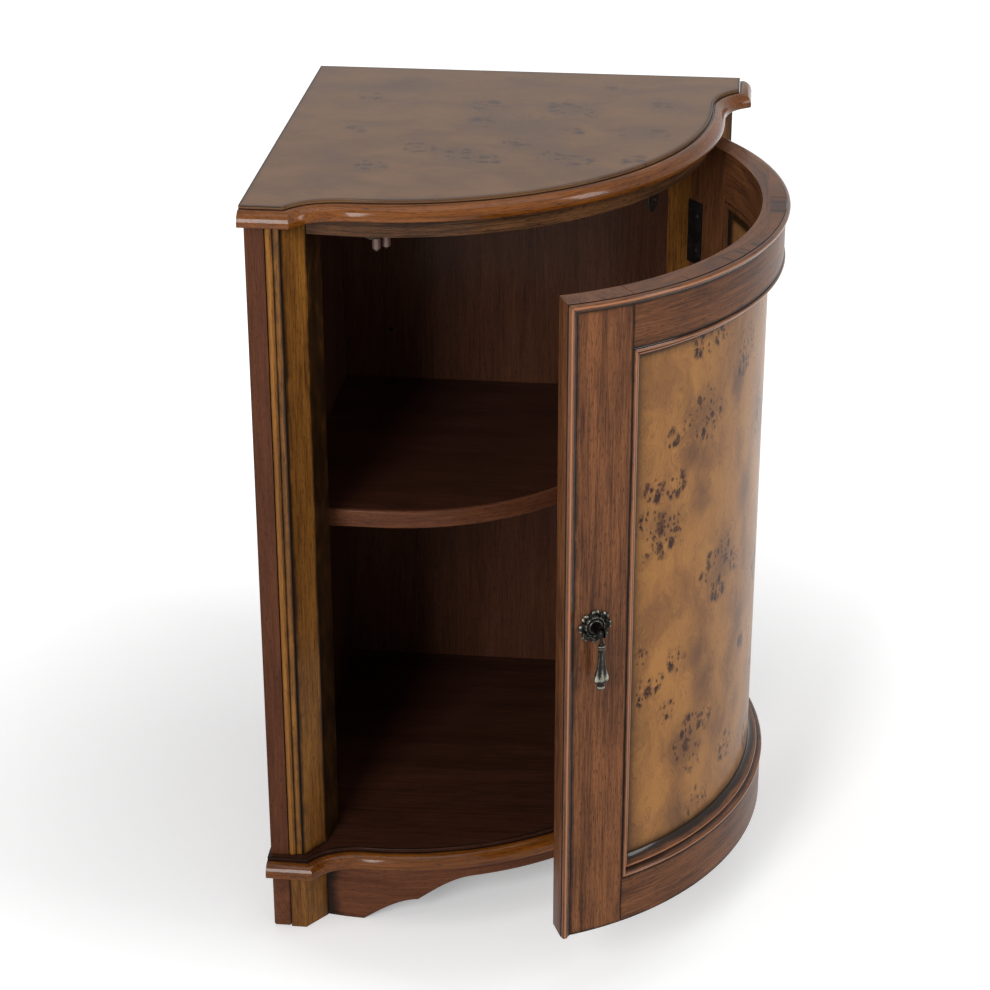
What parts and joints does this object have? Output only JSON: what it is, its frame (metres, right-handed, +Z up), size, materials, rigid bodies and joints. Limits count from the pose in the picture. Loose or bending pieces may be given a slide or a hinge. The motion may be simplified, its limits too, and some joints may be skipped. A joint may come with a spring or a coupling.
{
  "type": "corner cabinet",
  "caption": "Quarter-round corner cabinet with a bow-front frame-and-panel door standing ajar, a curved shelf, moulded top and base, and a scrolled apron on bracket feet.",
  "frame": {"origin": "the room corner on the floor: where the two wall planes and the floor plane meet, at the cabinet's back corner foot", "axes": "+Z up; +X along the right wall, away from the corner; -Y along the left wall, away from the corner, so the front faces between +X and -Y"},
  "size_m": [0.4815, 0.5384, 0.762],
  "materials": {
    "top_burl": "satin greyish-brown burl veneer",
    "moulding_wood": "glossy orange-brown stain",
    "case_side_wood": "satin reddish-brown stain",
    "pilaster_wood": "satin yellow-brown stain, dark glaze in the quirks",
    "interior_wood": "satin dark red-brown stain",
    "shelf_wood": "satin dark red-brown stain",
    "door_frame_wood": "satin walnut brown, dark glaze in the quirks",
    "door_burl": "glossy golden burl veneer",
    "block_wood": "raw wood",
    "hinge_black": "satin black",
    "catch_steel": "zinc plated",
    "roller_nylon": "brown nylon",
    "pull_bronze": "antique bronze"
  },
  "bodies": {
    "cabinet": {"top_board": "top_burl", "top_moulding": "moulding_wood", "base_board": "interior_wood", "base_moulding": "moulding_wood", "left_side_panel": "case_side_wood", "right_side_panel": "case_side_wood", "left_pilaster": "pilaster_wood", "left_pilaster_bead": "pilaster_wood", "right_pilaster": "pilaster_wood", "right_pilaster_bead": "pilaster_wood", "frieze_rail": "moulding_wood", "front_apron": "case_side_wood", "left_plinth_board": "case_side_wood", "right_plinth_board": "case_side_wood", "left_foot_block": "pilaster_wood", "right_foot_block": "pilaster_wood", "corner_glue_block": "block_wood", "shelf_board": "shelf_wood", "shelf_edge_band": "shelf_wood", "shelf_pin_left_1": "catch_steel", "shelf_pin_left_2": "catch_steel", "shelf_pin_right_1": "catch_steel", "shelf_pin_right_2": "catch_steel", "catch_block": "block_wood", "catch_base": "catch_steel", "stay_bracket": "hinge_black", "hinge_upper_frame_leaf": "hinge_black", "hinge_upper_pin": "hinge_black", "hinge_lower_frame_leaf": "hinge_black", "hinge_lower_pin": "hinge_black"},
    "door": {"hinge_upper_door_leaf": "hinge_black", "hinge_lower_door_leaf": "hinge_black", "catch_strike": "catch_steel", "door_free_stile": "door_frame_wood", "door_hinge_stile": "door_frame_wood", "door_top_rail": "door_frame_wood", "door_bottom_rail": "door_frame_wood", "door_panel": "door_burl", "door_sticking_top": "door_frame_wood", "door_sticking_bottom": "door_frame_wood", "door_sticking_free": "door_frame_wood", "door_sticking_hinge": "door_frame_wood", "door_back_bead_top": "door_frame_wood", "door_back_bead_bottom": "door_frame_wood", "door_back_bead_free": "door_frame_wood", "door_back_bead_hinge": "door_frame_wood", "door_edge_bead_top": "door_frame_wood", "door_edge_bead_free": "door_frame_wood", "door_edge_bead_hinge": "door_frame_wood", "pull_rosette": "pull_bronze", "pull_post": "pull_bronze"},
    "pull_drop": {"pull_drop": "pull_bronze"},
    "catch_arm_left": {"catch_arm_left": "catch_steel"},
    "catch_arm_right": {"catch_arm_right": "catch_steel"},
    "catch_roller_left": {"catch_roller_left": "roller_nylon"},
    "catch_roller_right": {"catch_roller_right": "roller_nylon"}
  },
  "joints": [
    {"name": "door_hinge", "type": "hinge", "parent": "cabinet", "child": "door", "pos_m": [0.40362, -0.05414, 0.405], "axis": [0, 0, 1], "range_deg": [-32.5, 72.5]},
    {"name": "pull_swing", "type": "hinge", "parent": "door", "child": "pull_drop", "pos_m": [0.32978, -0.53356, 0.413], "axis": [-0.8748, -0.4844, 0], "range_deg": [-8, 80]},
    {"name": "catch_arm_left_spread", "type": "hinge", "parent": "cabinet", "child": "catch_arm_left", "pos_m": [0.10403, -0.36188, 0.7152], "axis": [0, 0, -1], "range_deg": [0, 7], "stiffness_Nm_per_rad": 0.05},
    {"name": "catch_arm_right_spread", "type": "hinge", "parent": "cabinet", "child": "catch_arm_right", "pos_m": [0.11165, -0.35366, 0.7152], "axis": [0, 0, 1], "range_deg": [0, 7], "stiffness_Nm_per_rad": 0.05},
    {"name": "catch_roller_left_spin", "type": "hinge", "parent": "catch_arm_left", "child": "catch_roller_left", "pos_m": [0.11174, -0.36902, 0.7085], "axis": [0, 0, 1], "continuous": true},
    {"name": "catch_roller_right_spin", "type": "hinge", "parent": "catch_arm_right", "child": "catch_roller_right", "pos_m": [0.11935, -0.3608, 0.7085], "axis": [0, 0, 1], "continuous": true}
  ]
}
